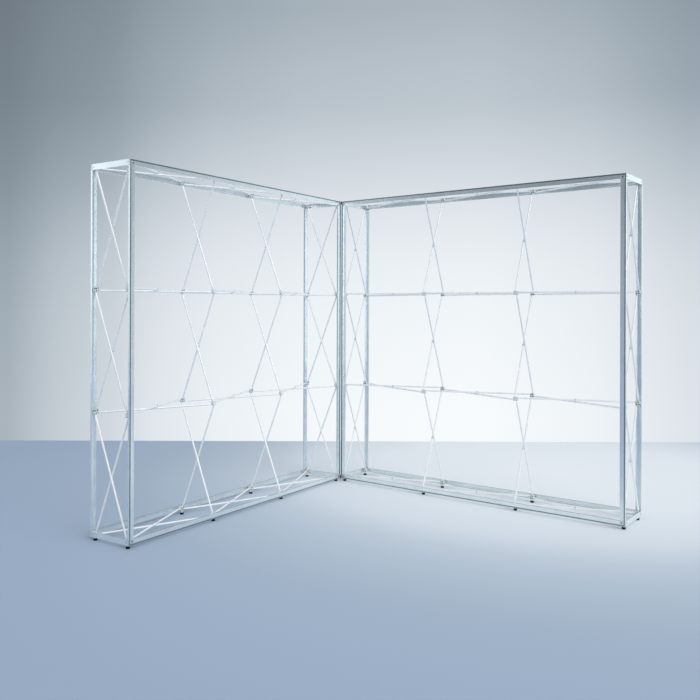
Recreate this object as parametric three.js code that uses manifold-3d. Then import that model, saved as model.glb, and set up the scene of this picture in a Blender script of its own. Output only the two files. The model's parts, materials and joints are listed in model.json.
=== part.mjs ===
// Corner backwall: two straight pop-up walls that stand in a V and are hinged together along
// their inner front corner. Each wall is a square grid of hubs joined by crossing scissor
// struts, closed all round by grooved channel rails, and stands on short rubber feet.
// Millimetres, +Z up. The V opens towards -Y and the hinge is at its back. The origin is on
// the floor, under the middle of the object's bounding box.
import * as THREE from 'three';
import { mergeVertices } from 'three/addons/utils/BufferGeometryUtils.js';
import Module from 'manifold-3d';

// ---------------------------------------------------------------- driving dimensions
const INCLUDED_ANGLE = 86.1; // degrees between the two front faces
const BAYS = 3; // scissor cells along a wall
const STOREYS = 3; // scissor cells up a wall
const HUB_PITCH = 750; // between neighbouring hubs, along the wall and up it
const HUB_DEPTH = 290; // between the front and the rear hubs
const FIT_GAP = 0.3; // clearance between pieces that touch

const RAIL_WIDTH = 36; // face of a rail
const RAIL_THICKNESS = 14; // front to back of a rail
const RAIL_WALL = 1.8;
const RAIL_LIP = 1.5; // thin edge outside the groove
const GROOVE_WIDTH = 8; // takes the edge strip of a panel
const GROOVE_DEPTH = 3.5;
const RAIL_HEIGHT = 22; // floor to the lower edge of the bottom rails
const FACE_TO_HUB = 30; // front face of the rails to the hub centres
const CORNER_CAP = 4; // closed end of a post
const CORNER_SCREW = 8; // bore in the face of a corner
const CROSSBAR_THICKNESS = 4.5;
const CROSSBAR_WEB = 2;
const CROSSBAR_LIP = 3;

const HUB_THICKNESS = 21; // front to back of a hub
const HUB_PLATE = 2.5; // closed outer side of a hub, behind which the slots end
const BOSS_SIDES = 10;

const TUBE_DIAMETER = 12;
const TUBE_SIDES = 8;
const CROSSING_GAP = 0.6; // between two struts where they cross
const PIVOT_OFFSET = 9; // hub centre to strut pivot
const TONGUE_WIDTH = 9; // flat end of a strut
const TONGUE_THICKNESS = 5;
const TONGUE_TIP = 4.5; // beyond the pivot
const RIVET_DIAMETER = 7;
const RIVET_PROUD = 1.5;
const RIVET_SIDES = 6;

const FOOT_DIAMETER = 25;
const FOOT_HEIGHT = 13;
const FOOT_SIDES = 12;
const STEM_DIAMETER = 14;
const STEM_SIDES = 8;

const HINGE_CLEARANCE = 3; // hinge axis to the front plane and the end plane of each wall
const HINGE_HEIGHT = 24;
const KNUCKLE_DIAMETER = 7.2;
const KNUCKLE_SIDES = 12;
const HINGE_PIN_DIAMETER = 3;
const LEAF_THICKNESS = 1.5;
const LEAF_LENGTH = 12;

// ---------------------------------------------------------------- sizes that follow
const STRUT_OFFSET = (TUBE_DIAMETER + CROSSING_GAP) / 2; // strut axis to the plane of its pair
const PIVOT_SPAN = HUB_PITCH - 2 * PIVOT_OFFSET;
const STRUT_LENGTH = Math.hypot(PIVOT_SPAN, HUB_DEPTH); // pivot to pivot
const STRUT_ANGLE = Math.atan2(HUB_DEPTH, PIVOT_SPAN);

const HUB_WIDTH = RAIL_WIDTH - 2 * (CROSSBAR_WEB + FIT_GAP);
const HUB_HEIGHT = RAIL_WIDTH - 2 * (CROSSBAR_LIP + FIT_GAP);
const CHANNEL_STEP = GROOVE_DEPTH + RAIL_WALL; // face of a rail to its channel behind the groove
const BOSS_REACH = FACE_TO_HUB - CHANNEL_STEP - FIT_GAP; // hub centre to the end of its boss
const BOSS_DIAMETER = RAIL_WIDTH - 2 * (RAIL_LIP + GROOVE_WIDTH); // rests on the back of the groove

const WALL_LENGTH = BAYS * HUB_PITCH + RAIL_WIDTH;
const WALL_DEPTH = HUB_DEPTH + 2 * FACE_TO_HUB;
const RAIL_TOP = RAIL_HEIGHT + STOREYS * HUB_PITCH + RAIL_WIDTH;
const NEAR_END = HINGE_CLEARANCE; // end plane of a wall beside the hinge
const FAR_END = NEAR_END + WALL_LENGTH;
const FRONT = HINGE_CLEARANCE;
const REAR = FRONT + WALL_DEPTH;
const FIRST_COLUMN = NEAR_END + RAIL_WIDTH / 2;
const FRONT_HUBS = FRONT + FACE_TO_HUB;
const FIRST_ROW = RAIL_HEIGHT + RAIL_WIDTH / 2;

// ---------------------------------------------------------------- solids
const X = new THREE.Vector3(1, 0, 0);
const Y = new THREE.Vector3(0, 1, 0);
const Z = new THREE.Vector3(0, 0, 1);
const wasm = await Module();
wasm.setup();

// Positions only, with shared corners merged.
function bare(geometry) {
  geometry.deleteAttribute('normal');
  geometry.deleteAttribute('uv');
  return mergeVertices(geometry, 1e-4);
}

// Turns a geometry's own axes to the three given directions, and keeps its faces outward
// when they make a mirror image.
function turned(geometry, xTo, yTo, zTo) {
  const basis = new THREE.Matrix4().makeBasis(xTo, yTo, zTo);
  const result = bare(geometry).applyMatrix4(basis);
  if (basis.determinant() < 0) {
    result.setIndex(Array.from(result.index.array).reverse());
  }
  return result;
}

function solid(geometry) {
  const shape = bare(geometry);
  return new wasm.Manifold(new wasm.Mesh({
    numProp: 3,
    vertProperties: new Float32Array(shape.attributes.position.array),
    triVerts: new Uint32Array(shape.index.array),
  }));
}

function geometryOf(body) {
  const mesh = body.getMesh();
  const geometry = new THREE.BufferGeometry();
  geometry.setAttribute('position', new THREE.BufferAttribute(mesh.vertProperties, 3));
  geometry.setIndex(new THREE.BufferAttribute(mesh.triVerts, 1));
  return geometry;
}

function joined(bodies) {
  return bodies.reduce((whole, body) => whole.add(body));
}

function block([x0, x1], [y0, y1], [z0, z1]) {
  const geometry = new THREE.BoxGeometry(x1 - x0, y1 - y0, z1 - z0);
  return solid(geometry.translate((x0 + x1) / 2, (y0 + y1) / 2, (z0 + z1) / 2));
}

// A round bar between two heights, standing on the point (x, y).
function bar(diameter, sides, [z0, z1], x = 0, y = 0) {
  const geometry = new THREE.CylinderGeometry(diameter / 2, diameter / 2, z1 - z0, sides);
  return solid(geometry.rotateX(Math.PI / 2).translate(x, y, (z0 + z1) / 2));
}

// ---------------------------------------------------------------- scissor struts
// One strut, pivot to pivot along X about its middle: a round tube with a flat tongue at each
// end that enters a hub whose half width across the slot is hubReach.
function strutGeometry(hubReach) {
  const tubeEdge = (TUBE_DIAMETER / 2) * Math.sin(STRUT_ANGLE);
  const bareEnd = (hubReach + FIT_GAP - PIVOT_OFFSET + tubeEdge) / Math.cos(STRUT_ANGLE);
  const tube = new THREE.CylinderGeometry(
    TUBE_DIAMETER / 2, TUBE_DIAMETER / 2, STRUT_LENGTH - 2 * bareEnd, TUBE_SIDES,
  );
  tube.rotateY(Math.PI / TUBE_SIDES).rotateZ(Math.PI / 2);
  const tongues = new THREE.BoxGeometry(STRUT_LENGTH + 2 * TONGUE_TIP, TONGUE_WIDTH, TONGUE_THICKNESS);
  return geometryOf(solid(tube).add(solid(tongues)));
}

// Two crossing struts and their rivet, flat in the XY plane about the middle of the cell:
// the strut that runs from front (-Y) to rear with +X is above, and the other is below.
function scissorPair(hubReach) {
  const rising = strutGeometry(hubReach).rotateZ(STRUT_ANGLE).translate(0, 0, STRUT_OFFSET);
  const falling = strutGeometry(hubReach).rotateZ(-STRUT_ANGLE).translate(0, 0, -STRUT_OFFSET);
  const rivetReach = STRUT_OFFSET + TUBE_DIAMETER / 2 + RIVET_PROUD;
  const rivet = bar(RIVET_DIAMETER, RIVET_SIDES, [-rivetReach, rivetReach]);
  return joined([solid(rising), solid(falling), rivet]);
}

// ---------------------------------------------------------------- columns
// A front hub about its centre, with its closed side towards -Y and a round boss there, which
// stands in the channel of the rail, if it carries one. The slots for the struts along the wall
// are open to +Y: the one on the +X side is above the middle.
function frontHub(carriesRail) {
  const [w, t, h] = [HUB_WIDTH / 2, HUB_THICKNESS / 2, HUB_HEIGHT / 2];
  const core = block([-w, w], [-t, t], [-h, h]);
  const slotStart = PIVOT_OFFSET - Math.hypot(TONGUE_TIP, TONGUE_WIDTH / 2) - FIT_GAP;
  const slotHalf = TONGUE_THICKNESS / 2 + FIT_GAP;
  const slot = (side, middle) => {
    const reach = [side * slotStart, side * (w + 1)].sort((a, b) => a - b);
    return block(reach, [HUB_PLATE - t, t + 1], [middle - slotHalf, middle + slotHalf]);
  };
  const body = core.subtract(slot(1, STRUT_OFFSET)).subtract(slot(-1, -STRUT_OFFSET));
  if (!carriesRail) {
    return body;
  }
  const boss = bar(BOSS_DIAMETER, BOSS_SIDES, [t - HUB_PLATE, BOSS_REACH]);
  return body.add(solid(geometryOf(boss).rotateX(Math.PI / 2)));
}

// A foot under a hub: rubber pad on the floor and the stem that carries it.
function foot() {
  const hubUnderside = FIRST_ROW - HUB_HEIGHT / 2;
  const overlap = 1;
  const pad = bar(FOOT_DIAMETER, FOOT_SIDES, [0, FOOT_HEIGHT]);
  const stem = bar(STEM_DIAMETER, STEM_SIDES, [FOOT_HEIGHT - overlap, hubUnderside + overlap]);
  return pad.add(stem);
}

// One column: its front and rear hubs, the scissor pairs that stand between them, the rivets
// and the two feet. X is 0 at the column, Y at the front hubs and Z at the floor. A column at
// an end of the wall carries the posts, and every column the rails at its top and bottom.
function column(isEnd) {
  const bodies = [];
  const shifted = (body, y, z) => solid(geometryOf(body).translate(0, y, z));
  for (let row = 0; row <= STOREYS; row += 1) {
    const height = FIRST_ROW + row * HUB_PITCH;
    const front = frontHub(isEnd || row === 0 || row === STOREYS);
    bodies.push(shifted(front, 0, height));
    bodies.push(shifted(solid(geometryOf(front).rotateZ(Math.PI)), HUB_DEPTH, height));
  }
  const pair = turned(geometryOf(scissorPair(HUB_HEIGHT / 2)), Z, Y, X.clone().negate());
  for (let storey = 0; storey < STOREYS; storey += 1) {
    const middle = FIRST_ROW + (storey + 0.5) * HUB_PITCH;
    bodies.push(solid(pair.clone().translate(0, HUB_DEPTH / 2, middle)));
  }
  bodies.push(foot());
  bodies.push(shifted(foot(), HUB_DEPTH, 0));
  return joined(bodies);
}

// ---------------------------------------------------------------- rails
// Section of a rail without its channel: x from its outer edge, y from its outer face, with
// the groove open to the face.
function railSection() {
  const grooveEnd = RAIL_LIP + GROOVE_WIDTH;
  return new THREE.Shape([
    new THREE.Vector2(0, 0),
    new THREE.Vector2(RAIL_LIP, 0),
    new THREE.Vector2(RAIL_LIP, GROOVE_DEPTH),
    new THREE.Vector2(grooveEnd, GROOVE_DEPTH),
    new THREE.Vector2(grooveEnd, 0),
    new THREE.Vector2(RAIL_WIDTH, 0),
    new THREE.Vector2(RAIL_WIDTH, RAIL_THICKNESS),
    new THREE.Vector2(0, RAIL_THICKNESS),
  ]);
}

// The channel in the back of a rail, stepped round the groove and open to the hubs.
function channelSection() {
  const shallow = RAIL_LIP + GROOVE_WIDTH + RAIL_WALL;
  const far = RAIL_WIDTH - RAIL_WALL;
  const past = RAIL_THICKNESS + 1;
  return new THREE.Shape([
    new THREE.Vector2(RAIL_WALL, CHANNEL_STEP),
    new THREE.Vector2(shallow, CHANNEL_STEP),
    new THREE.Vector2(shallow, RAIL_WALL),
    new THREE.Vector2(far, RAIL_WALL),
    new THREE.Vector2(far, past),
    new THREE.Vector2(RAIL_WALL, past),
  ]);
}

// The section carried along Z between two heights.
function carried(section, [z0, z1]) {
  const geometry = new THREE.ExtrudeGeometry(section, { depth: z1 - z0, bevelEnabled: false });
  return solid(geometry.translate(0, 0, z0));
}

// A rail that runs along a wall between two posts, open at its ends. Length is along Z.
function longRail() {
  const length = WALL_LENGTH - 2 * (RAIL_WIDTH + FIT_GAP);
  const outside = carried(railSection(), [0, length]);
  return geometryOf(outside.subtract(carried(channelSection(), [-1, length + 1])));
}

// A post with the corner pieces at its two ends: closed there, with a screw bore in the
// middle of each corner's face that opens into the channel.
function postGeometry() {
  const length = RAIL_TOP - RAIL_HEIGHT;
  const outside = carried(railSection(), [0, length]);
  const inside = carried(channelSection(), [CORNER_CAP, length - CORNER_CAP]);
  const bore = (height) => {
    const reach = CHANNEL_STEP;
    const cut = new THREE.CylinderGeometry(CORNER_SCREW / 2, CORNER_SCREW / 2, 2 * reach, RIVET_SIDES);
    return solid(cut.translate(RAIL_WIDTH / 2, 0, height));
  };
  const corner = RAIL_WIDTH / 2;
  const body = outside.subtract(inside).subtract(bore(corner)).subtract(bore(length - corner));
  return geometryOf(body);
}

// A flat bar between a front and a rear post, with a lip along both edges that holds the
// hubs between them. x is from its outer face, y across its face, length along Z.
function crossbar() {
  const half = RAIL_WIDTH / 2;
  const outline = new THREE.Shape([
    new THREE.Vector2(0, -half),
    new THREE.Vector2(CROSSBAR_THICKNESS, -half),
    new THREE.Vector2(CROSSBAR_THICKNESS, CROSSBAR_LIP - half),
    new THREE.Vector2(CROSSBAR_WEB, CROSSBAR_LIP - half),
    new THREE.Vector2(CROSSBAR_WEB, half - CROSSBAR_LIP),
    new THREE.Vector2(CROSSBAR_THICKNESS, half - CROSSBAR_LIP),
    new THREE.Vector2(CROSSBAR_THICKNESS, half),
    new THREE.Vector2(0, half),
  ]);
  const length = WALL_DEPTH - 2 * (RAIL_THICKNESS + FIT_GAP);
  return new THREE.ExtrudeGeometry(outline, { depth: length, bevelEnabled: false });
}

// ---------------------------------------------------------------- hinge
// One leaf, about the hinge axis, for the wall on the +X side. It lies on the end face of the
// wall's corner post. The outer leaf has the pin and the end knuckles, the inner leaf has the
// middle knuckle that turns on the pin.
function hingeLeaf(isOuter) {
  const third = HINGE_HEIGHT / 3;
  const plateX = [HINGE_CLEARANCE - FIT_GAP - LEAF_THICKNESS, HINGE_CLEARANCE - FIT_GAP];
  const plateStart = KNUCKLE_DIAMETER / 2 + FIT_GAP;
  const plate = block(plateX, [plateStart, plateStart + LEAF_LENGTH], [0, HINGE_HEIGHT]);
  const knuckle = (z) => joined([
    bar(KNUCKLE_DIAMETER, KNUCKLE_SIDES, z),
    block(plateX, [0, plateStart + FIT_GAP], z),
  ]);
  if (isOuter) {
    const pin = bar(HINGE_PIN_DIAMETER, KNUCKLE_SIDES, [0, HINGE_HEIGHT]);
    return joined([plate, knuckle([0, third]), knuckle([2 * third, HINGE_HEIGHT]), pin]);
  }
  const middle = [third + FIT_GAP, 2 * third - FIT_GAP];
  const hole = bar(HINGE_PIN_DIAMETER + 2 * FIT_GAP, KNUCKLE_SIDES, [0, HINGE_HEIGHT]);
  return plate.add(knuckle(middle)).subtract(hole);
}

// ---------------------------------------------------------------- finishes
function finish(color, metalness, roughness) {
  return new THREE.MeshStandardMaterial({ color, metalness, roughness });
}
const railFinish = () => finish(0xa9b8bd, 0.85, 0.35);
const strutFinish = () => finish(0xdfe5ea, 0.6, 0.35);
const hingeFinish = () => finish(0x2a2d2e, 0.0, 0.5);

// ---------------------------------------------------------------- walls
// A wall's own frame has X along the wall, Y to its rear and the origin on the hinge axis.
// The frame round the left wall is the mirror image of the right one's, but the lattice of
// hubs and struts in it is the same way round in both.
function makeWall(name, side) {
  const group = new THREE.Group();
  group.rotation.z = side * THREE.MathUtils.degToRad(INCLUDED_ANGLE / 2 - 90);
  const outwards = X.clone().multiplyScalar(side);

  const add = (label, geometry, material, x, y, z, xTo = outwards) => {
    const shape = turned(geometry, xTo, Y, Z);
    const mesh = new THREE.Mesh(shape, material);
    mesh.name = label;
    mesh.position.set(side * x, y, z);
    group.add(mesh);
  };

  const faces = [
    { face: 'front', y: FRONT, inwards: Y },
    { face: 'rear', y: REAR, inwards: Y.clone().negate() },
  ];
  for (const { face, y, inwards } of faces) {
    const label = `${name}_${face}`;
    const railStart = NEAR_END + RAIL_WIDTH + FIT_GAP;
    const top = turned(longRail(), Z.clone().negate(), inwards, X);
    const bottom = turned(longRail(), Z, inwards, X);
    const inner = turned(postGeometry(), X, inwards, Z);
    const outer = turned(postGeometry(), X.clone().negate(), inwards, Z);
    add(`${label}_top_rail`, top, railFinish(), railStart, y, RAIL_TOP);
    add(`${label}_bottom_rail`, bottom, railFinish(), railStart, y, RAIL_HEIGHT);
    add(`${label}_inner_post`, inner, railFinish(), NEAR_END, y, RAIL_HEIGHT);
    add(`${label}_outer_post`, outer, railFinish(), FAR_END, y, RAIL_HEIGHT);
  }

  const levels = [
    { level: 'bottom', z: FIRST_ROW },
    { level: 'top', z: FIRST_ROW + STOREYS * HUB_PITCH },
  ];
  const crossbarStart = FRONT + RAIL_THICKNESS + FIT_GAP;
  for (const { level, z } of levels) {
    const inner = turned(crossbar(), X, Z, Y);
    const outer = turned(crossbar(), X.clone().negate(), Z, Y);
    add(`${name}_inner_${level}_crossbar`, inner, railFinish(), NEAR_END, crossbarStart, z);
    add(`${name}_outer_${level}_crossbar`, outer, railFinish(), FAR_END, crossbarStart, z);
  }

  for (let index = 0; index <= BAYS; index += 1) {
    const x = FIRST_COLUMN + index * HUB_PITCH;
    const shape = geometryOf(column(index === 0 || index === BAYS));
    add(`${name}_column_${index + 1}`, shape, strutFinish(), x, FRONT_HUBS, 0, X);
  }

  for (let bay = 0; bay < BAYS; bay += 1) {
    for (let row = 0; row <= STOREYS; row += 1) {
      const label = `${name}_scissor_bay${bay + 1}_row${row + 1}`;
      const x = FIRST_COLUMN + (bay + 0.5) * HUB_PITCH;
      const y = FRONT_HUBS + HUB_DEPTH / 2;
      const z = FIRST_ROW + row * HUB_PITCH;
      add(label, geometryOf(scissorPair(HUB_WIDTH / 2)), strutFinish(), x, y, z, X);
    }
  }

  const hinges = [
    { level: 'bottom', z: RAIL_HEIGHT },
    { level: 'top', z: RAIL_TOP - HINGE_HEIGHT },
  ];
  for (const { level, z } of hinges) {
    add(`${level}_hinge_${name}_leaf`, geometryOf(hingeLeaf(side < 0)), hingeFinish(), 0, 0, z);
  }
  return group;
}

// ---------------------------------------------------------------- assembly
const backwall = new THREE.Group();
backwall.add(makeWall('left', -1), makeWall('right', 1));
backwall.updateMatrixWorld(true);
const middle = new THREE.Box3().setFromObject(backwall, true).getCenter(new THREE.Vector3());
backwall.position.set(-middle.x, -middle.y, 0);

export default backwall;
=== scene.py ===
"""Looks for the corner backwall: rails, posts, hubs, struts, rivets, feet and hinges.

Every size is in metres. A wall's own frame has X along the wall, Y to its rear and the origin
on the hinge axis. The rails round the left wall are the mirror image of the right one's, but
the lattice of hubs and struts is the same way round in both.
"""

import json
import math
from functools import lru_cache

import bmesh
import bpy
from mathutils import Matrix, Vector


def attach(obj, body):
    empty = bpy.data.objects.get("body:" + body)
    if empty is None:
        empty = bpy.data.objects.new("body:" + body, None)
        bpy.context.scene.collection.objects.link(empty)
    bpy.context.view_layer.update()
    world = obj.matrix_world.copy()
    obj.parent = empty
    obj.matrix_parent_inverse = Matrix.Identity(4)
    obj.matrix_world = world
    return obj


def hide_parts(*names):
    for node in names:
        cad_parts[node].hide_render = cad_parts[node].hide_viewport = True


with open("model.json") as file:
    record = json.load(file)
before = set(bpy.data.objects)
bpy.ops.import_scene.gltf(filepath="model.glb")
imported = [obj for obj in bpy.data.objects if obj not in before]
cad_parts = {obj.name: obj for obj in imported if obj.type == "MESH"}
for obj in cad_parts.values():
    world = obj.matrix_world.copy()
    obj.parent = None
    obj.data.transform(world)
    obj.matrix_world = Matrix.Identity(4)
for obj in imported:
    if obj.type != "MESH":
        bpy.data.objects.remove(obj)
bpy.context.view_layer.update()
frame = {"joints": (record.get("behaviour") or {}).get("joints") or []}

# ---------------------------------------------------------------- sizes, as in the solids
INCLUDED_ANGLE = math.radians(86.1)
BAYS = 3
STOREYS = 3
HUB_PITCH = 0.750
HUB_DEPTH = 0.290
FIT_GAP = 0.0003

RAIL_WIDTH = 0.036
RAIL_THICKNESS = 0.014
RAIL_WALL = 0.0018
RAIL_LIP = 0.0015
GROOVE_WIDTH = 0.008
GROOVE_DEPTH = 0.0035
RAIL_HEIGHT = 0.022
FACE_TO_HUB = 0.030
CROSSBAR_THICKNESS = 0.0045
CROSSBAR_WEB = 0.002
CROSSBAR_LIP = 0.003
HUB_THICKNESS = 0.021
HUB_PLATE = 0.0025
GROOVE_END = RAIL_LIP + GROOVE_WIDTH
HUB_BOSS_RADIUS = RAIL_WIDTH / 2 - GROOVE_END

TUBE_RADIUS = 0.006
CROSSING_GAP = 0.0006
PIVOT_OFFSET = 0.009
TONGUE_WIDTH = 0.009
TONGUE_THICKNESS = 0.005
TONGUE_TIP = 0.0045

FOOT_RADIUS = 0.0125
FOOT_HEIGHT = 0.013
STEM_RADIUS = 0.007

HINGE_CLEARANCE = 0.003
HINGE_HEIGHT = 0.024
KNUCKLE_RADIUS = 0.0036
HINGE_PIN_RADIUS = 0.0015
LEAF_THICKNESS = 0.0015
LEAF_LENGTH = 0.012

STRUT_OFFSET = TUBE_RADIUS + CROSSING_GAP / 2
PIVOT_SPAN = HUB_PITCH - 2 * PIVOT_OFFSET
STRUT_LENGTH = math.hypot(PIVOT_SPAN, HUB_DEPTH)
STRUT_ANGLE = math.atan2(HUB_DEPTH, PIVOT_SPAN)
HUB_WIDTH = RAIL_WIDTH - 2 * (CROSSBAR_WEB + FIT_GAP)
HUB_HEIGHT = RAIL_WIDTH - 2 * (CROSSBAR_LIP + FIT_GAP)
CHANNEL_STEP = GROOVE_DEPTH + RAIL_WALL
HUB_BOSS_REACH = FACE_TO_HUB - CHANNEL_STEP - FIT_GAP
WALL_LENGTH = BAYS * HUB_PITCH + RAIL_WIDTH
WALL_DEPTH = HUB_DEPTH + 2 * FACE_TO_HUB
RAIL_TOP = RAIL_HEIGHT + STOREYS * HUB_PITCH + RAIL_WIDTH
NEAR_END = HINGE_CLEARANCE
FAR_END = NEAR_END + WALL_LENGTH
FRONT = HINGE_CLEARANCE
REAR = FRONT + WALL_DEPTH
FIRST_COLUMN = NEAR_END + RAIL_WIDTH / 2
FRONT_HUBS = FRONT + FACE_TO_HUB
FIRST_ROW = RAIL_HEIGHT + RAIL_WIDTH / 2

# ---------------------------------------------------------------- sizes of the finer detail
RAIL_EDGE = 0.0004  # every name in EDGE is the width of a rounded edge
HUB_EDGE = 0.0005
PLATE_EDGE = 0.0008
PIN_EDGE = 0.0002
FINE_EDGE = 0.0003
MOULDED_EDGE = 0.0004

HUB_CORNER = 0.004
PLATE_WAIST = 0.0022
PIN_RADIUS = 0.0018
PIN_CHEEK = 0.0032  # from a tongue's side to the pin's end
HUB_BOSS_OVERLAP = 0.0006
RIVET_HEAD_RADIUS = 0.0055
RIVET_HEAD_HEIGHT = 0.0015
RIVET_HEAD_SUNK = 0.0005
RIVET_SHANK_RADIUS = 0.0035

BOSS_RADIUS = 0.0125
BOSS_PROUD = 0.0006
BOSS_SUNK = 0.001
BOSS_INSET = 0.0015
SCREW_RADIUS = 0.0042
SCREW_PROUD = 0.0012
SCREW_RIM = 0.0004
SCREW_INSET = 0.012  # from a crossbar's end to the middle of its screw
SOCKET_RADIUS = 0.0021
SOCKET_PROUD = 0.00003

TUBE_SEGMENTS = 20
FLATTENING = 0.016  # length over which a tube end is pressed flat
STEM_OVERLAP = 0.001
STRIP_INSET = 0.0005
HINGE_PIN_PROUD = 0.0004
SMOOTH_BELOW = math.radians(20)  # a sharper angle between two faces stays an edge

HINGE_AXIS = Vector(frame["joints"][0]["pos_m"])
MIRROR = Matrix.Diagonal((-1, 1, 1, 1))
X, Y, Z = Vector((1, 0, 0)), Vector((0, 1, 0)), Vector((0, 0, 1))
WALLS = {"left": -1, "right": 1}  # and the side of the hinge axis that each stands on

# ---------------------------------------------------------------- numbers of the finishes
CLOUD_SCALE = 9.0
LINE_SCALE = (1400.0, 3.0, 1.0)
GRAIN_SCALE = 900.0
BUMP_DISTANCE = 0.0002
NOISE_LOW, NOISE_HIGH = 0.3, 0.7
ROUGHNESS_SPREAD = 0.15


# ---------------------------------------------------------------- materials
def linear(red, green, blue):
    """A display colour from 0 to 255 as a linear one."""

    def channel(value):
        value /= 255
        return value / 12.92 if value <= 0.04045 else ((value + 0.055) / 1.055) ** 2.4

    return (channel(red), channel(green), channel(blue), 1.0)


def ramp(nodes, stops):
    """A colour ramp with the given (position, colour) stops."""
    node = nodes.new("ShaderNodeValToRGB")
    elements = node.color_ramp.elements
    elements[0].position, elements[0].color = stops[0]
    elements[1].position, elements[1].color = stops[-1]
    for position, color in stops[1:-1]:
        elements.new(position).color = color
    return node


def grey(value):
    return (value, value, value, 1.0)


def scaled(color, factor):
    return tuple(channel * factor for channel in color[:3]) + (1.0,)


def finish(name, color, roughness, metallic=0.0, mottle=0.06, lines=0.0, grain=0.0, specular=0.5):
    """A finish with uneven tone. Lines are drawn marks along a bar's length, grain is a fine
    moulded texture."""
    made = bpy.data.materials.new(name)
    made.use_nodes = True
    nodes, links = made.node_tree.nodes, made.node_tree.links
    shader = nodes["Principled BSDF"]
    shader.inputs["Metallic"].default_value = metallic
    shader.inputs["Specular IOR Level"].default_value = specular

    place = nodes.new("ShaderNodeTexCoord")
    cloud = nodes.new("ShaderNodeTexNoise")
    cloud.inputs["Scale"].default_value = CLOUD_SCALE
    cloud.inputs["Detail"].default_value = 5.0
    links.new(place.outputs["Object"], cloud.inputs["Vector"])
    darker, lighter = scaled(color, 1 - mottle), scaled(color, 1 + mottle)
    tone = ramp(nodes, [(NOISE_LOW, darker), (NOISE_HIGH, lighter)])
    links.new(cloud.outputs["Fac"], tone.inputs["Fac"])
    links.new(tone.outputs["Color"], shader.inputs["Base Color"])

    marks = cloud
    if lines:
        stretch = nodes.new("ShaderNodeMapping")
        stretch.inputs["Scale"].default_value = LINE_SCALE
        links.new(place.outputs["UV"], stretch.inputs["Vector"])
        marks = nodes.new("ShaderNodeTexNoise")
        marks.inputs["Scale"].default_value = 1.0
        marks.inputs["Detail"].default_value = 3.0
        links.new(stretch.outputs["Vector"], marks.inputs["Vector"])
    if grain:
        marks = nodes.new("ShaderNodeTexNoise")
        marks.inputs["Scale"].default_value = GRAIN_SCALE
        marks.inputs["Detail"].default_value = 2.0
        links.new(place.outputs["Object"], marks.inputs["Vector"])
    if lines or grain:
        bump = nodes.new("ShaderNodeBump")
        bump.inputs["Strength"].default_value = lines or grain
        bump.inputs["Distance"].default_value = BUMP_DISTANCE
        links.new(marks.outputs["Fac"], bump.inputs["Height"])
        links.new(bump.outputs["Normal"], shader.inputs["Normal"])

    spread = nodes.new("ShaderNodeMapRange")
    spread.inputs["From Min"].default_value = NOISE_LOW
    spread.inputs["From Max"].default_value = NOISE_HIGH
    spread.inputs["To Min"].default_value = roughness * (1 - ROUGHNESS_SPREAD)
    spread.inputs["To Max"].default_value = roughness * (1 + ROUGHNESS_SPREAD)
    links.new(marks.outputs["Fac"], spread.inputs["Value"])
    links.new(spread.outputs["Result"], shader.inputs["Roughness"])
    return made


RAIL_FINISH = finish("anodised rail", linear(237, 245, 247), 0.24, metallic=0.74, lines=0.05)
CORNER_FINISH = finish("cast corner", linear(222, 231, 232), 0.32, metallic=0.75, grain=0.04)
STRUT_FINISH = finish("silver tube", linear(249, 251, 252), 0.34, metallic=0.2, lines=0.06)
HUB_FINISH = finish("pale moulding", linear(222, 229, 229), 0.45, grain=0.12)
# Painted shade: a dark finish that stands in for the shade inside the hubs' slots and the screws'
# sockets.
RECESS_SHADE_FINISH = finish("painted recess shade", linear(52, 58, 64), 0.5, grain=0.15)
# Painted shade: the same metal as the rail, made darker to stand in for the shade inside the
# grooves.
GROOVE_SHADE_FINISH = finish("groove", linear(146, 160, 164), 0.3, metallic=0.8, lines=0.05)
STEEL_FINISH = finish("blackened steel", linear(66, 72, 78), 0.35, metallic=0.6)
PIN_FINISH = finish("bright pin", linear(205, 209, 212), 0.25, metallic=0.9)
RUBBER_FINISH = finish("black rubber", linear(17, 18, 20), 0.7, grain=0.3, specular=0.2)
STEM_FINISH = finish("white moulding", linear(232, 235, 238), 0.4, grain=0.1)
HINGE_FINISH = finish("black moulding", linear(38, 41, 44), 0.42, grain=0.2)


# ---------------------------------------------------------------- mesh parts
def prism(outline, low, high, edge=0.0, slot=0):
    """The outline in XY carried along Z from low to high, with rounded edges."""
    part = bmesh.new()
    floor = [part.verts.new((x, y, low)) for x, y in outline]
    roof = [part.verts.new((x, y, high)) for x, y in outline]
    part.faces.new(list(reversed(floor)))
    part.faces.new(roof)
    count = len(outline)
    for index in range(count):
        after = (index + 1) % count
        part.faces.new((floor[index], floor[after], roof[after], roof[index]))
    if edge:
        bmesh.ops.bevel(
            part, geom=part.edges[:], offset=edge, offset_type="OFFSET", segments=2,
            profile=0.5, affect="EDGES", clamp_overlap=True,
        )
    for face in part.faces:
        face.material_index = slot
    bmesh.ops.recalc_face_normals(part, faces=part.faces)
    return part


def rectangle(x0, x1, y0, y1):
    return [(x0, y0), (x1, y0), (x1, y1), (x0, y1)]


def circle(radius, segments, x=0.0):
    turn = 2 * math.pi / segments
    return [
        (x + radius * math.cos(k * turn), radius * math.sin(k * turn)) for k in range(segments)
    ]


def round_rings(profile, segments):
    """One circle for each (height, radius) of the profile."""
    return [[(x, y, z) for x, y in circle(radius, segments)] for z, radius in profile]


def loft(rings, slot=0):
    """Closed rings of equal count joined in order, with flat ends."""
    part = bmesh.new()
    rows = [[part.verts.new(point) for point in ring] for ring in rings]
    part.faces.new(list(reversed(rows[0])))
    part.faces.new(rows[-1])
    count = len(rows[0])
    for lower, upper in zip(rows, rows[1:]):
        for index in range(count):
            after = (index + 1) % count
            part.faces.new((lower[index], lower[after], upper[after], upper[index]))
    for face in part.faces:
        face.material_index = slot
    bmesh.ops.recalc_face_normals(part, faces=part.faces)
    return part


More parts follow.
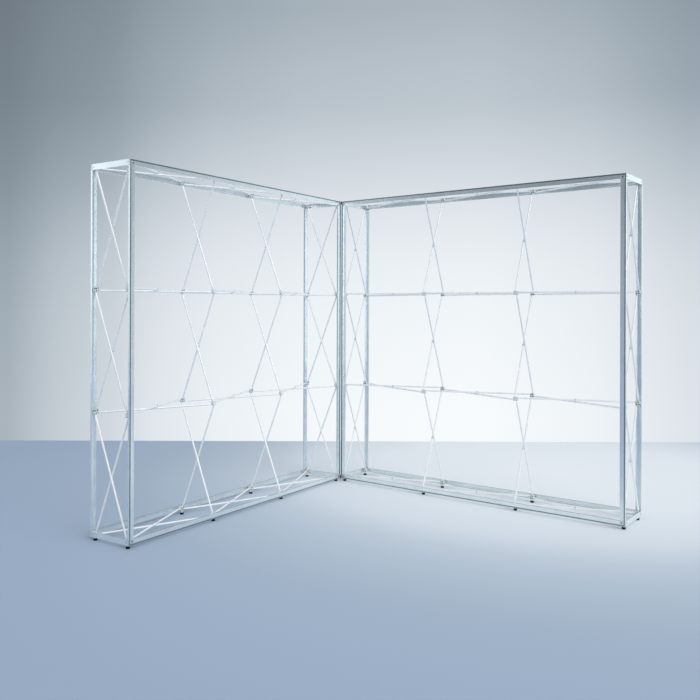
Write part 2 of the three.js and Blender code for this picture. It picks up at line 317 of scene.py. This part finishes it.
def moved(part, matrix):
    bmesh.ops.transform(part, matrix=matrix, verts=part.verts)
    if matrix.determinant() < 0:
        bmesh.ops.reverse_faces(part, faces=part.faces)
    return part


def basis(x_to, y_to, z_to, origin=(0, 0, 0)):
    """The matrix that sends X, Y and Z to the three given directions and 0 to the origin."""
    turn = Matrix((x_to, y_to, z_to)).transposed().to_4x4()
    return Matrix.Translation(origin) @ turn


def add_lengthwise_uv(part):
    """Flat mapping in metres from each face's main side, with V along Z on the long sides."""
    layer = part.loops.layers.uv.new("length")
    for face in part.faces:
        size = [abs(value) for value in face.normal]
        main = size.index(max(size))
        across, along = {0: (1, 2), 1: (0, 2), 2: (0, 1)}[main]
        for corner in face.loops:
            corner[layer].uv = (corner.vert.co[across], corner.vert.co[along])


def mesh_pair(name, parts, finishes):
    """The parts as one mesh, and its mirror image across X = 0."""
    whole = bmesh.new()
    for part in parts:
        step = bpy.data.meshes.new("step")
        part.to_mesh(step)
        part.free()
        whole.from_mesh(step)
        bpy.data.meshes.remove(step)
    whole.normal_update()
    add_lengthwise_uv(whole)
    pair = []
    for suffix, matrix in (("", Matrix.Identity(4)), ("_mirrored", MIRROR)):
        copy = moved(whole.copy(), matrix)
        mesh = bpy.data.meshes.new(name + suffix)
        copy.to_mesh(mesh)
        copy.free()
        for made in finishes:
            mesh.materials.append(made)
        mesh.polygons.foreach_set("use_smooth", [True] * len(mesh.polygons))
        mesh.set_sharp_from_angle(angle=SMOOTH_BELOW)
        pair.append(mesh)
    whole.free()
    return pair


# ---------------------------------------------------------------- rails, posts and corners
def rail_outline():
    """Section of a rail: x from its outer edge, y from its face. The groove is open to the face
    and the channel behind it to the hubs."""
    shallow, far = GROOVE_END + RAIL_WALL, RAIL_WIDTH - RAIL_WALL
    return [
        (0, 0), (RAIL_LIP, 0), (RAIL_LIP, GROOVE_DEPTH), (GROOVE_END, GROOVE_DEPTH),
        (GROOVE_END, 0), (RAIL_WIDTH, 0), (RAIL_WIDTH, RAIL_THICKNESS), (far, RAIL_THICKNESS),
        (far, RAIL_WALL), (shallow, RAIL_WALL), (shallow, CHANNEL_STEP), (RAIL_WALL, CHANNEL_STEP),
        (RAIL_WALL, RAIL_THICKNESS), (0, RAIL_THICKNESS),
    ]


@lru_cache(maxsize=None)
def rail_meshes(length):
    """A rail or post along Z, with painted shade: the groove's inside gets a darker finish in
    place of the shade in the groove.
    """
    bar = prism(rail_outline(), 0, length, RAIL_EDGE)
    for face in bar.faces:
        middle = face.calc_center_median()
        across = RAIL_LIP - RAIL_EDGE / 2 < middle.x < GROOVE_END + RAIL_EDGE / 2
        inside = RAIL_EDGE < middle.y < GROOVE_DEPTH + RAIL_EDGE / 2
        # Painted shade: the groove's inner faces get the darker groove finish.
        if across and inside and abs(face.normal.z) < 0.5:
            face.material_index = 1
    return mesh_pair("rail", [bar], [RAIL_FINISH, GROOVE_SHADE_FINISH])


def screw_parts(slot, socket_slot):
    """A low round head on Z = 0 with a dark hexagonal socket: a flat dark disc on the head,
    painted shade in place of a socket's recess.
    """
    profile = [
        (-SCREW_RIM, SCREW_RADIUS), (SCREW_PROUD - SCREW_RIM, SCREW_RADIUS),
        (SCREW_PROUD, SCREW_RADIUS - SCREW_RIM),
    ]
    head = loft(round_rings(profile, 24), slot)
    low, high = SCREW_PROUD - SCREW_RIM, SCREW_PROUD + SOCKET_PROUD
    return [head, prism(circle(SOCKET_RADIUS, 6), low, high, slot=socket_slot)]


@lru_cache(maxsize=None)
def corner_meshes():
    """The corner piece at a post's end. x is from the outer edge, y from the face and z from
    the end of the post; the groove turns the corner with the rails."""
    width, deep, sunk = RAIL_WIDTH, RAIL_THICKNESS, GROOVE_DEPTH
    to_face = basis(X, Z, -Y)
    back = moved(prism(rectangle(0, width, 0, width), -CHANNEL_STEP, -sunk, RAIL_EDGE), to_face)
    # Painted shade: the groove's floor on the corner gets the darker groove finish.
    for face in back.faces:
        if face.normal.y < -0.9:
            face.material_index = 3
    wall_outline, lip_outline = (
        [(0, 0), (width, 0), (width, thick), (thick, thick), (thick, width), (0, width)]
        for thick in (RAIL_WALL, RAIL_LIP)
    )
    sides = moved(prism(wall_outline, -deep, -sunk - RAIL_EDGE, RAIL_EDGE), to_face)
    lip = moved(prism(lip_outline, -sunk - RAIL_EDGE, 0, RAIL_EDGE), to_face)
    face_outline = rectangle(GROOVE_END, width, GROOVE_END, width)
    face = moved(prism(face_outline, -sunk - RAIL_EDGE, 0, RAIL_EDGE), to_face)
    middle = width / 2 + GROOVE_END / 2
    arch = [
        (middle + BOSS_RADIUS * math.cos(a), middle - BOSS_RADIUS * math.sin(a))
        for a in [math.pi * k / 16 for k in range(17)]
    ]
    straight = width - BOSS_INSET
    boss_outline = arch + [(middle - BOSS_RADIUS, straight), (middle + BOSS_RADIUS, straight)]
    boss = moved(prism(boss_outline, -BOSS_SUNK, BOSS_PROUD, FINE_EDGE), to_face)
    screw = [
        moved(part, basis(X, Z, -Y, (middle, -BOSS_PROUD, middle)))
        for part in screw_parts(1, 2)
    ]
    parts = [back, sides, lip, face, boss, *screw]
    return mesh_pair("corner", parts, [CORNER_FINISH, STEEL_FINISH, RECESS_SHADE_FINISH, GROOVE_SHADE_FINISH])


@lru_cache(maxsize=None)
def crossbar_meshes():
    """A flat bar with a lip along both edges and a screw near each end, as in the solids."""
    half = RAIL_WIDTH / 2
    outline = [
        (0, -half), (CROSSBAR_THICKNESS, -half), (CROSSBAR_THICKNESS, CROSSBAR_LIP - half),
        (CROSSBAR_WEB, CROSSBAR_LIP - half), (CROSSBAR_WEB, half - CROSSBAR_LIP),
        (CROSSBAR_THICKNESS, half - CROSSBAR_LIP), (CROSSBAR_THICKNESS, half), (0, half),
    ]
    length = WALL_DEPTH - 2 * (RAIL_THICKNESS + FIT_GAP)
    parts = [prism(outline, 0, length, RAIL_EDGE)]
    for z in (SCREW_INSET, length - SCREW_INSET):
        parts += [moved(part, basis(Y, Z, -X, (0, 0, z))) for part in screw_parts(1, 2)]
    return mesh_pair("crossbar", parts, [RAIL_FINISH, PIN_FINISH, STEEL_FINISH])


# ---------------------------------------------------------------- hubs, struts and rivets
def hub_outline():
    """A square with a slot in from each side, each slot off the middle in turn."""
    wide, high = HUB_WIDTH / 2, HUB_HEIGHT / 2
    start = PIVOT_OFFSET - math.hypot(TONGUE_TIP, TONGUE_WIDTH / 2) - FIT_GAP
    half = TONGUE_THICKNESS / 2 + FIT_GAP
    low, top = STRUT_OFFSET - half, STRUT_OFFSET + half
    cut = HUB_CORNER
    return [
        (wide, low), (start, low), (start, top), (wide, top),
        (wide, high - cut), (wide - cut, high),
        (-low, high), (-low, start), (-top, start), (-top, high),
        (cut - wide, high), (-wide, high - cut),
        (-wide, -low), (-start, -low), (-start, -top), (-wide, -top),
        (-wide, cut - high), (cut - wide, -high),
        (low, -high), (low, -start), (top, -start), (top, -high),
        (wide - cut, -high), (wide, cut - high),
    ]


def plate_outline():
    """The hub's closed face: a square with a shallow hollow in each side."""
    wide, high = HUB_WIDTH / 2, HUB_HEIGHT / 2
    cut, waist = HUB_CORNER, PLATE_WAIST
    return [
        (wide, high - cut), (wide - cut, high), (cut, high), (0, high - waist), (-cut, high),
        (cut - wide, high), (-wide, high - cut), (-wide, cut), (waist - wide, 0), (-wide, -cut),
        (-wide, cut - high), (cut - wide, -high), (-cut, -high), (0, waist - high), (cut, -high),
        (wide - cut, -high), (wide, cut - high), (wide, -cut), (wide - waist, 0), (wide, cut),
    ]


@lru_cache(maxsize=None)
def hub_meshes(carries_rail):
    """A front hub: X along the wall, Y to the rear, Z up. Its slots open to the rear, their
    insides painted dark as shade, and a boss stands in the channel of the rail that it carries."""
    half = HUB_THICKNESS / 2
    to_front = basis(X, Z, -Y)
    plate = moved(prism(plate_outline(), half - HUB_PLATE, half, PLATE_EDGE), to_front)
    body = prism(hub_outline(), -half, half - HUB_PLATE)
    reach = PIVOT_OFFSET + TONGUE_WIDTH / 2
    for face in body.faces:
        middle = face.calc_center_median()
        # Painted shade: the slots' inner faces get the dark finish in place of their shade.
        inner = max(abs(middle.x), abs(middle.y)) < reach and abs(face.normal.z) < 0.5
        face.material_index = 1 if inner else 0
    edges = [e for e in body.edges if all(f.material_index == 0 for f in e.link_faces)]
    bmesh.ops.bevel(
        body, geom=edges, offset=HUB_EDGE, offset_type="OFFSET", segments=2,
        profile=0.5, affect="EDGES", clamp_overlap=True,
    )
    body = moved(body, to_front)
    parts = [plate, body]
    cheek = TONGUE_THICKNESS / 2 + PIN_CHEEK
    pin_outline = circle(PIN_RADIUS, 12, PIVOT_OFFSET)
    for turn in range(4):
        pin = prism(pin_outline, STRUT_OFFSET - cheek, STRUT_OFFSET + cheek, PIN_EDGE, 2)
        parts.append(moved(pin, Matrix.Rotation(-turn * math.pi / 2, 4, "Y")))
    if carries_rail:
        boss_outline = circle(HUB_BOSS_RADIUS, 28)
        boss = prism(boss_outline, half - HUB_BOSS_OVERLAP, HUB_BOSS_REACH, MOULDED_EDGE)
        parts.append(moved(boss, to_front))
    return mesh_pair("hub", parts, [HUB_FINISH, RECESS_SHADE_FINISH, PIN_FINISH])


def strut_ring(across, through, squareness, z):
    """A ring from a circle (squareness 2) to a rounded rectangle (higher), at height z."""
    ring = []
    for k in range(TUBE_SEGMENTS):
        angle = 2 * math.pi * (k + 0.5) / TUBE_SEGMENTS
        c, s = math.cos(angle), math.sin(angle)
        x = across * math.copysign(abs(c) ** (2 / squareness), c)
        y = through * math.copysign(abs(s) ** (2 / squareness), s)
        ring.append((x, y, z))
    return ring


@lru_cache(maxsize=None)
def strut_meshes(hub_reach):
    """A tube along Z about its middle, pressed flat across Y at both ends."""
    slant = TUBE_RADIUS * math.sin(STRUT_ANGLE)
    bare = (hub_reach + FIT_GAP - PIVOT_OFFSET + slant) / math.cos(STRUT_ANGLE)
    half = STRUT_LENGTH / 2
    wide, thick = TONGUE_WIDTH / 2, TONGUE_THICKNESS / 2
    tip = half + TONGUE_TIP
    # Along one end: height, half width, half thickness and squareness.
    end = [
        (tip, wide * 0.45, thick * 0.8, 4.0),
        (tip - 0.0007, wide * 0.72, thick, 4.0),
        (tip - 0.0020, wide * 0.93, thick, 4.0),
        (tip - 0.0040, wide, thick, 4.0),
        (half - bare, wide, thick, 4.0),
        (half - bare - FLATTENING * 0.3, wide * 1.12, thick * 1.35, 3.2),
        (half - bare - FLATTENING * 0.7, TUBE_RADIUS * 1.02, TUBE_RADIUS * 0.8, 2.4),
        (half - bare - FLATTENING, TUBE_RADIUS, TUBE_RADIUS, 2.0),
    ]
    other_end = [(-z, *section) for z, *section in reversed(end)]
    rings = [strut_ring(*section, z) for z, *section in end + other_end]
    return mesh_pair("strut", [loft(rings)], [STRUT_FINISH])


@lru_cache(maxsize=None)
def rivet_meshes():
    """A rivet along Z through two crossed tubes: a dark dome at +Z and a bright one at -Z."""
    outer = STRUT_OFFSET + TUBE_RADIUS
    base, rise = outer - RIVET_HEAD_SUNK, RIVET_HEAD_HEIGHT + RIVET_HEAD_SUNK
    shares = [(0.0, 0.94), (0.12, 1.0), (0.45, 0.93), (0.8, 0.65), (1.0, 0.25)]
    parts = [prism(circle(RIVET_SHANK_RADIUS, 16), -outer, outer)]
    for way, head_slot in ((1, 0), (-1, 1)):
        profile = [(way * (base + up * rise), RIVET_HEAD_RADIUS * out) for up, out in shares]
        parts.append(loft(round_rings(profile, 20), head_slot))
    return mesh_pair("rivet", parts, [STEEL_FINISH, STRUT_FINISH])


# ---------------------------------------------------------------- feet, hinges and strips of painted shade
@lru_cache(maxsize=None)
def foot_meshes():
    """A ribbed rubber pad on the floor and the white stem above it."""
    top = FIRST_ROW - HUB_HEIGHT / 2 + STEM_OVERLAP
    # Each profile: height, and share of the full radius.
    pad_profile = [
        (0.0, 0.92), (0.0010, 1.0), (0.0035, 1.0), (0.0042, 0.95), (0.0052, 0.95), (0.0060, 1.0),
        (0.0105, 1.0), (0.0120, 0.94), (FOOT_HEIGHT, 0.80),
    ]
    stem_profile = [
        (FOOT_HEIGHT - STEM_OVERLAP, 1.0), (top - 0.004, 1.0), (top - 0.003, 1.25), (top, 1.25),
    ]
    pad = loft(round_rings([(z, FOOT_RADIUS * share) for z, share in pad_profile], 28), 0)
    stem = loft(round_rings([(z, STEM_RADIUS * share) for z, share in stem_profile], 24), 1)
    return mesh_pair("foot", [pad, stem], [RUBBER_FINISH, STEM_FINISH])


@lru_cache(maxsize=None)
def shade_strip_meshes():
    """A dark strip on the inner front post's end, between the two hinges: painted shade, standing
    in for the shade in the gap between the two walls' posts. X is along the wall and Y to its
    rear, from the hinge axis."""
    low, high = RAIL_HEIGHT + HINGE_HEIGHT + FIT_GAP, RAIL_TOP - HINGE_HEIGHT - FIT_GAP
    near, far = FRONT + STRIP_INSET, FRONT + RAIL_THICKNESS - STRIP_INSET
    strip = prism(rectangle(FIT_GAP, NEAR_END, near, far), low, high, MOULDED_EDGE)
    # Painted shade: the black rubber finish here stands in for the shade in the gap.
    return mesh_pair("corner_strip", [strip], [RUBBER_FINISH])


@lru_cache(maxsize=None)
def leaf_meshes(is_outer):
    """One hinge leaf about the hinge axis, for the wall on the +X side."""
    third = HINGE_HEIGHT / 3
    plate_x = (HINGE_CLEARANCE - FIT_GAP - LEAF_THICKNESS, HINGE_CLEARANCE - FIT_GAP)
    start = KNUCKLE_RADIUS + FIT_GAP
    plate = rectangle(*plate_x, start, start + LEAF_LENGTH)
    parts = [prism(plate, 0, HINGE_HEIGHT, FINE_EDGE)]
    if is_outer:
        spans = [(0, third), (2 * third, HINGE_HEIGHT)]
        low, high = -HINGE_PIN_PROUD, HINGE_HEIGHT + HINGE_PIN_PROUD
        parts.append(prism(circle(HINGE_PIN_RADIUS, 20), low, high, PIN_EDGE, 1))
    else:
        spans = [(third + FIT_GAP, 2 * third - FIT_GAP)]
    for low, high in spans:
        parts.append(prism(circle(KNUCKLE_RADIUS, 32), low, high, FINE_EDGE))
        parts.append(prism(rectangle(*plate_x, 0, start + FIT_GAP), low, high))
    return mesh_pair("hinge_leaf", parts, [HINGE_FINISH, STEEL_FINISH])


# ---------------------------------------------------------------- placing
def place(name, meshes, matrix, wall, slot, *nodes, mirrors=True):
    """Puts one piece in the scene on its wall's body, in place of the CAD nodes it shows. The
    matrix is in the wall's own frame, which is mirrored for the left wall unless told not to."""
    side = WALLS[wall]
    turn = Matrix.Rotation(side * (INCLUDED_ANGLE / 2 - math.pi / 2), 4, "Z")
    flip = MIRROR if side < 0 and mirrors else Matrix.Identity(4)
    whole = Matrix.Translation(HINGE_AXIS) @ turn @ flip @ matrix
    mirrored = whole.determinant() < 0
    piece = bpy.data.objects.new(name, meshes[1] if mirrored else meshes[0])
    bpy.context.scene.collection.objects.link(piece)
    piece.matrix_world = whole @ MIRROR if mirrored else whole
    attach(piece, f"{wall}_wall")
    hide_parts(*nodes)


def add_frame(wall):
    """Rails, posts with their corner pieces, and crossbars of one wall."""
    rail_length = WALL_LENGTH - 2 * (RAIL_WIDTH + FIT_GAP)
    post_length = RAIL_TOP - RAIL_HEIGHT - 2 * (RAIL_WIDTH + FIT_GAP)
    start = NEAR_END + RAIL_WIDTH + FIT_GAP
    levels = {"bottom": (RAIL_HEIGHT, Z), "top": (RAIL_TOP, -Z)}
    ends = {"inner": (NEAR_END, X), "outer": (FAR_END, -X)}
    for side, y, inwards in (("front", FRONT, Y), ("rear", REAR, -Y)):
        for level, (height, way) in levels.items():
            node = f"{wall}_{side}_{level}_rail"
            at = basis(way, inwards, X, (start, y, height))
            place(f"rail_{wall}_{side}_{level}", rail_meshes(rail_length), at, wall, "rail", node)
        for end, (x, along) in ends.items():
            node = f"{wall}_{side}_{end}_post"
            foot = RAIL_HEIGHT + RAIL_WIDTH + FIT_GAP
            at = basis(along, inwards, Z, (x, y, foot))
            place(f"post_{wall}_{side}_{end}", rail_meshes(post_length), at, wall, "rail", node)
            for level, (height, way) in levels.items():
                at = basis(along, inwards, way, (x, y, height))
                name = f"corner_{wall}_{side}_{end}_{level}"
                place(name, corner_meshes(), at, wall, "rail", node)
    crossbar_start = FRONT + RAIL_THICKNESS + FIT_GAP
    for row, level in ((0, "bottom"), (STOREYS, "top")):
        for end, (x, along) in ends.items():
            node = f"{wall}_{end}_{level}_crossbar"
            at = basis(along, Z, Y, (x, crossbar_start, FIRST_ROW + row * HUB_PITCH))
            place(f"crossbar_{wall}_{end}_{level}", crossbar_meshes(), at, wall, "rail", node)


def add_pair(name, meshes, matrix, wall, node, dark_head=1):
    """Two crossing struts and their rivet, flat in the XY plane of the matrix. The rivet's dark
    head is at +Z (dark_head 1) or -Z (-1)."""
    for label, way in (("a", 1), ("b", -1)):
        along = Vector((math.cos(STRUT_ANGLE), way * math.sin(STRUT_ANGLE), 0))
        across = Vector((-along.y, along.x, 0))
        at = matrix @ basis(across, Z, along, (0, 0, way * STRUT_OFFSET))
        place(f"strut_{name}_{label}", meshes, at, wall, "strut", node, mirrors=False)
    at = matrix @ basis(X, dark_head * Y, dark_head * Z)
    place(f"rivet_{name}", rivet_meshes(), at, wall, None, node, mirrors=False)


def add_lattice(wall):
    """Hubs, struts, rivets and feet of one wall, unmirrored."""
    side = WALLS[wall]
    rear_hubs = FRONT_HUBS + HUB_DEPTH
    middle = FRONT_HUBS + HUB_DEPTH / 2
    for column in range(BAYS + 1):
        x = side * (FIRST_COLUMN + column * HUB_PITCH)
        node = f"{wall}_column_{column + 1}"
        for row in range(STOREYS + 1):
            z = FIRST_ROW + row * HUB_PITCH
            spot = f"{wall}_c{column + 1}_r{row + 1}"
            meshes = hub_meshes(column in (0, BAYS) or row in (0, STOREYS))
            front = Matrix.Translation((x, FRONT_HUBS, z))
            rear = basis(-X, -Y, Z, (x, rear_hubs, z))
            place(f"hub_{spot}_front", meshes, front, wall, None, node, mirrors=False)
            place(f"hub_{spot}_rear", meshes, rear, wall, None, node, mirrors=False)
        for storey in range(STOREYS):
            z = FIRST_ROW + (storey + 0.5) * HUB_PITCH
            upright = basis(Z, Y, -X, (x, middle, z))
            name = f"{wall}_c{column + 1}_s{storey + 1}"
            add_pair(name, strut_meshes(HUB_HEIGHT / 2), upright, wall, node, dark_head=side)
        for end, y in (("front", FRONT_HUBS), ("rear", rear_hubs)):
            at = Matrix.Translation((x, y, 0))
            name = f"foot_{wall}_c{column + 1}_{end}"
            place(name, foot_meshes(), at, wall, None, node, mirrors=False)
    for bay in range(BAYS):
        for row in range(STOREYS + 1):
            node = f"{wall}_scissor_bay{bay + 1}_row{row + 1}"
            x = side * (FIRST_COLUMN + (bay + 0.5) * HUB_PITCH)
            at = Matrix.Translation((x, middle, FIRST_ROW + row * HUB_PITCH))
            add_pair(f"{wall}_b{bay + 1}_r{row + 1}", strut_meshes(HUB_WIDTH / 2), at, wall, node)


def add_hinges(wall):
    """The wall's leaf of each hinge, and the dark strip of painted shade between them."""
    for level, z in (("bottom", RAIL_HEIGHT), ("top", RAIL_TOP - HINGE_HEIGHT)):
        node = f"{level}_hinge_{wall}_leaf"
        at = Matrix.Translation((0, 0, z))
        place(f"hinge_{level}_{wall}", leaf_meshes(wall == "left"), at, wall, "hinge", node)
    strip_node = f"{wall}_front_inner_post"
    place(f"corner_strip_{wall}", shade_strip_meshes(), Matrix.Identity(4), wall, "rail", strip_node)


for wall_name in WALLS:
    add_frame(wall_name)
    add_lattice(wall_name)
    add_hinges(wall_name)

# ---------------------------------------------------------------- camera
CAMERA_AT = Vector((-1.158, -5.717, 1.435))
HEADING = math.radians(8.141)  # to the right of +Y
ROLL = math.radians(0.168)
SENSOR_WIDTH = 36
FOCAL_LENGTH = 40.653
SHIFT_RIGHT, SHIFT_UP = 0.0535, -0.0612
FORWARD = Vector((math.sin(HEADING), math.cos(HEADING), 0))
RIGHT = Vector((math.cos(HEADING), -math.sin(HEADING), 0))

lens = bpy.data.cameras.new("camera")
lens.sensor_width = SENSOR_WIDTH
lens.lens = FOCAL_LENGTH
lens.shift_x = SHIFT_RIGHT
lens.shift_y = SHIFT_UP
camera = bpy.data.objects.new("camera", lens)
camera.location = CAMERA_AT
camera.rotation_euler = (math.pi / 2, -ROLL, -HEADING)
bpy.context.scene.collection.objects.link(camera)
bpy.context.scene.camera = camera

# ---------------------------------------------------------------- floor and backdrop
WALL_DISTANCE = 8.46  # from the camera to the far edge of the floor
FLOOR_REACH = 9.0  # from the camera to the other three edges
# Middle of the pool of light painted on the floor.
FLOOR_LIGHT_POOL_MIDDLE = CAMERA_AT + 2.1 * RIGHT + 7.0 * FORWARD
FLOOR_SPAN = 9.0
# Floor: painted light, a colour by the distance from the middle of a pool of light painted on it,
# in metres.
FLOOR_TONES = [
    (0.0, (238, 243, 248)), (1.5, (231, 238, 244)), (2.2, (216, 225, 234)), (2.6, (195, 207, 220)),
    (3.0, (180, 196, 212)), (3.6, (166, 183, 202)), (4.2, (161, 179, 202)), (5.0, (156, 174, 197)),
    (9.0, (151, 170, 194)),
]
# Backdrop: brightness by direction to the side, in radians, and by the sine of the elevation.
SIDE_TONES = [
    (-math.pi, 0.62), (-1.0, 0.55), (-0.367, 0.51), (-0.312, 0.62), (-0.253, 0.68), (-0.204, 0.79),
    (-0.124, 0.895), (-0.013, 0.965), (0.110, 0.99), (0.209, 1.0), (0.336, 0.93), (0.424, 0.81),
    (0.445, 0.78), (1.0, 0.66), (math.pi, 0.62),
]
HEIGHT_TONES = [
    (-1.0, 0.95), (-0.13, 1.0), (-0.008, 0.946), (0.054, 0.894), (0.103, 0.82), (0.151, 0.734),
    (0.199, 0.661), (0.244, 0.592), (0.289, 0.566), (0.352, 0.515), (1.0, 0.45),
]
BRIGHTEST = 0.95  # where a brightness of 1 meets the tones below
BACKDROP_TONES = [
    (0.0, (40, 46, 52)), (0.26, (114, 125, 135)), (0.36, (135, 147, 157)),
    (0.44, (156, 168, 178)), (0.54, (185, 195, 203)), (0.62, (203, 211, 218)),
    (0.72, (220, 226, 232)), (BRIGHTEST, (247, 251, 254)),
]
SKY_LEVEL = (0.66, 0.68, 0.70, 1.0)  # what lights the scene from all round
# Softboxes, and dark panels (negative strength), that only reflections see: heading from +X
# and rise in degrees, half angle of the full tone, half angle of the whole, and strength.
PANELS = [
    (160, 16, 14, 28, 2.2), (18, 10, 5, 17, 1.0), (36, 20, 12, 24, 0.72), (256, 3, 13, 32, 2.2),
    (215, 3, 15, 32, -0.4), (-12, 3, 8, 17, -0.45), (0, 90, 76, 85, -0.52),
]
PANEL_COLOR = linear(207, 209, 211)
PANEL_WHITENING = 0.35  # share of PANEL_COLOR in the backdrop, for each unit of strength

KEY_ENERGY = 1.45
KEY_ANGLE = math.radians(50)
KEY_TILT, KEY_TURN = math.radians(48), math.radians(30)


def add_floor():
    """A floor that ends at the backdrop, with a pool of light painted on it: brighter towards its
    right rear.
    """
    near, far = -FLOOR_REACH, WALL_DISTANCE
    corners = [
        CAMERA_AT + side * FLOOR_REACH * RIGHT + depth * FORWARD
        for side, depth in ((-1, near), (1, near), (1, far), (-1, far))
    ]
    mesh = bpy.data.meshes.new("floor")
    mesh.from_pydata([(point.x, point.y, 0) for point in corners], [], [(0, 1, 2, 3)])
    floor = bpy.data.objects.new("floor", mesh)
    bpy.context.scene.collection.objects.link(floor)

    made = bpy.data.materials.new("floor with painted light")
    made.use_nodes = True
    nodes, links = made.node_tree.nodes, made.node_tree.links
    shader = nodes["Principled BSDF"]
    shader.inputs["Roughness"].default_value = 0.55
    shader.inputs["Specular IOR Level"].default_value = 0.15
    coordinates = nodes.new("ShaderNodeTexCoord")
    away = nodes.new("ShaderNodeVectorMath")
    away.operation = "DISTANCE"
    away.inputs[1].default_value = (FLOOR_LIGHT_POOL_MIDDLE.x, FLOOR_LIGHT_POOL_MIDDLE.y, 0)
    links.new(coordinates.outputs["Object"], away.inputs[0])
    share = nodes.new("ShaderNodeMath")
    share.operation = "DIVIDE"
    share.inputs[1].default_value = FLOOR_SPAN
    links.new(away.outputs["Value"], share.inputs[0])
    # Painted light: the floor's colour fades out from the painted pool of light.
    tone = ramp(nodes, [(at / FLOOR_SPAN, linear(*color)) for at, color in FLOOR_TONES])
    links.new(share.outputs["Value"], tone.inputs["Fac"])
    links.new(tone.outputs["Color"], shader.inputs["Base Color"])
    mesh.materials.append(made)


def tone_by(nodes, links, value, low, high, tones):
    """The tones as a ramp over value, which runs from low to high."""
    spread = nodes.new("ShaderNodeMapRange")
    spread.inputs["From Min"].default_value = low
    spread.inputs["From Max"].default_value = high
    links.new(value, spread.inputs["Value"])
    stops = [((at - low) / (high - low), grey(tone)) for at, tone in tones]
    made = ramp(nodes, stops)
    links.new(spread.outputs["Result"], made.inputs["Fac"])
    return made.outputs["Color"]


def math_node(nodes, links, operation, first, second):
    """The result of an operation on two values, each a socket or a number."""
    node = nodes.new("ShaderNodeMath")
    node.operation = operation
    for index, value in enumerate((first, second)):
        if isinstance(value, (int, float)):
            node.inputs[index].default_value = value
        else:
            links.new(value, node.inputs[index])
    return node.outputs["Value"]


def component(nodes, links, direction, way):
    """How much of the direction points the given way."""
    node = nodes.new("ShaderNodeVectorMath")
    node.operation = "DOT_PRODUCT"
    node.inputs[1].default_value = way
    links.new(direction, node.inputs[0])
    return node.outputs["Value"]


def mix_node(nodes, links, factor, first, second):
    """A mix of two colours, each a socket or a plain colour."""
    node = nodes.new("ShaderNodeMix")
    node.data_type = "RGBA"
    links.new(factor, node.inputs["Factor"])
    colors = [socket for socket in node.inputs if socket.type == "RGBA"]
    for socket, value in zip(colors, (first, second)):
        if isinstance(value, tuple):
            socket.default_value = value
        else:
            links.new(value, socket)
    return next(socket for socket in node.outputs if socket.type == "RGBA")


def add_backdrop():
    """The studio wall as the world: the camera and reflections see its tones, and everything
    else gets one plain level."""
    world = bpy.data.worlds.new("studio")
    world.use_nodes = True
    bpy.context.scene.world = world
    nodes, links = world.node_tree.nodes, world.node_tree.links
    background = nodes["Background"]
    direction = nodes.new("ShaderNodeTexCoord").outputs["Generated"]
    to_right = component(nodes, links, direction, RIGHT)
    to_front = component(nodes, links, direction, FORWARD)
    upwards = component(nodes, links, direction, Z)
    side = math_node(nodes, links, "ARCTAN2", to_right, to_front)
    side_tone = tone_by(nodes, links, side, -math.pi, math.pi, SIDE_TONES)
    height_tone = tone_by(nodes, links, upwards, -1.0, 1.0, HEIGHT_TONES)
    level = math_node(nodes, links, "MULTIPLY", side_tone, height_tone)
    backdrop = ramp(nodes, [(at, linear(*color)) for at, color in BACKDROP_TONES])
    links.new(math_node(nodes, links, "MULTIPLY", level, BRIGHTEST), backdrop.inputs["Fac"])

    glow = 0.0
    for heading, rise, full, whole, power in PANELS:
        turn, lift = math.radians(heading), math.radians(rise)
        flat = math.cos(lift)
        way = Vector((math.cos(turn) * flat, math.sin(turn) * flat, math.sin(lift)))
        lobe = nodes.new("ShaderNodeMapRange")
        lobe.interpolation_type = "SMOOTHSTEP"
        lobe.inputs["From Min"].default_value = math.cos(math.radians(whole))
        lobe.inputs["From Max"].default_value = math.cos(math.radians(full))
        lobe.inputs["To Max"].default_value = power
        links.new(component(nodes, links, direction, way), lobe.inputs["Value"])
        glow = math_node(nodes, links, "ADD", lobe.outputs["Result"], glow)

    path = nodes.new("ShaderNodeLightPath").outputs
    seen = math_node(nodes, links, "MAXIMUM", path["Is Glossy Ray"], path["Is Transmission Ray"])
    seen = math_node(nodes, links, "MAXIMUM", path["Is Camera Ray"], seen)
    reflected_glow = math_node(nodes, links, "MULTIPLY", glow, path["Is Glossy Ray"])
    whitening = math_node(nodes, links, "MULTIPLY", reflected_glow, PANEL_WHITENING)
    whitened = mix_node(nodes, links, whitening, backdrop.outputs["Color"], PANEL_COLOR)
    color = mix_node(nodes, links, seen, SKY_LEVEL, whitened)
    links.new(color, background.inputs["Color"])
    strength = math_node(nodes, links, "ADD", reflected_glow, 1.0)
    links.new(strength, background.inputs["Strength"])


def add_key_light():
    """One wide, soft light from high on the right, in front."""
    sun = bpy.data.lights.new("key", "SUN")
    sun.energy = KEY_ENERGY
    sun.angle = KEY_ANGLE
    lamp = bpy.data.objects.new("key", sun)
    lamp.rotation_euler = (KEY_TILT, 0, KEY_TURN)
    bpy.context.scene.collection.objects.link(lamp)


add_floor()
add_backdrop()
add_key_light()

bpy.context.scene.view_settings.view_transform = "Standard"
